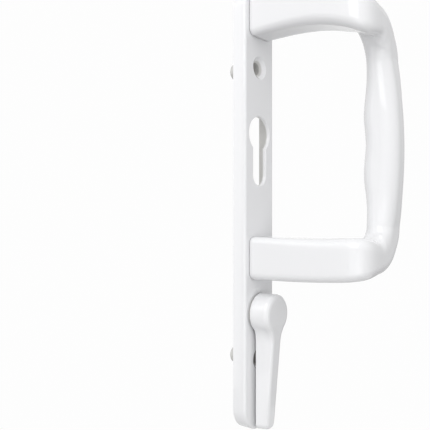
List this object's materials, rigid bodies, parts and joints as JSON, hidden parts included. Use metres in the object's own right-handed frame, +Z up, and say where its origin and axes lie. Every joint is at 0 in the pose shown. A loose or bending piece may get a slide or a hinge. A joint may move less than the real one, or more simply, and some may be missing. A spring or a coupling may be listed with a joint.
{
  "type": "sliding patio door handle",
  "caption": "Inside handle for a sliding patio door: slim hollow backplate, cranked pull handle with a finger-shaped grip, and a turning lever under it",
  "frame": {"origin": "on the flat door face of the backplate, mid-way between the two fixing holes", "axes": "+Z up along the plate, +X to the right seen from the room, +Y into the door"},
  "size_m": [0.0471, 0.0816, 0.228],
  "materials": {
    "plate_coating": "glossy white powder coat on a zinc casting",
    "handle_coating": "glossy white powder coat on a zinc casting",
    "lever_coating": "glossy white powder coat on a zinc casting",
    "zinc_steel": "bright zinc-plated steel",
    "spring_steel": "dark phosphated spring steel",
    "nylon": "natural nylon"
  },
  "bodies": {
    "frame": {"backplate": "plate_coating", "pull_handle": "handle_coating", "handle_screw_upper": "zinc_steel", "handle_screw_lower": "zinc_steel", "spring_washer_upper": "spring_steel", "spring_washer_lower": "spring_steel", "lever_bush": "nylon", "thrust_washer": "nylon", "disc_spring": "spring_steel"},
    "lever": {"lever": "lever_coating", "lever_circlip": "spring_steel"}
  },
  "joints": [
    {"name": "lever_pivot", "type": "hinge", "parent": "frame", "child": "lever", "pos_m": [0, -0.0076, -0.0512], "axis": [0, 1, 0], "range_deg": [-90, 90]}
  ]
}
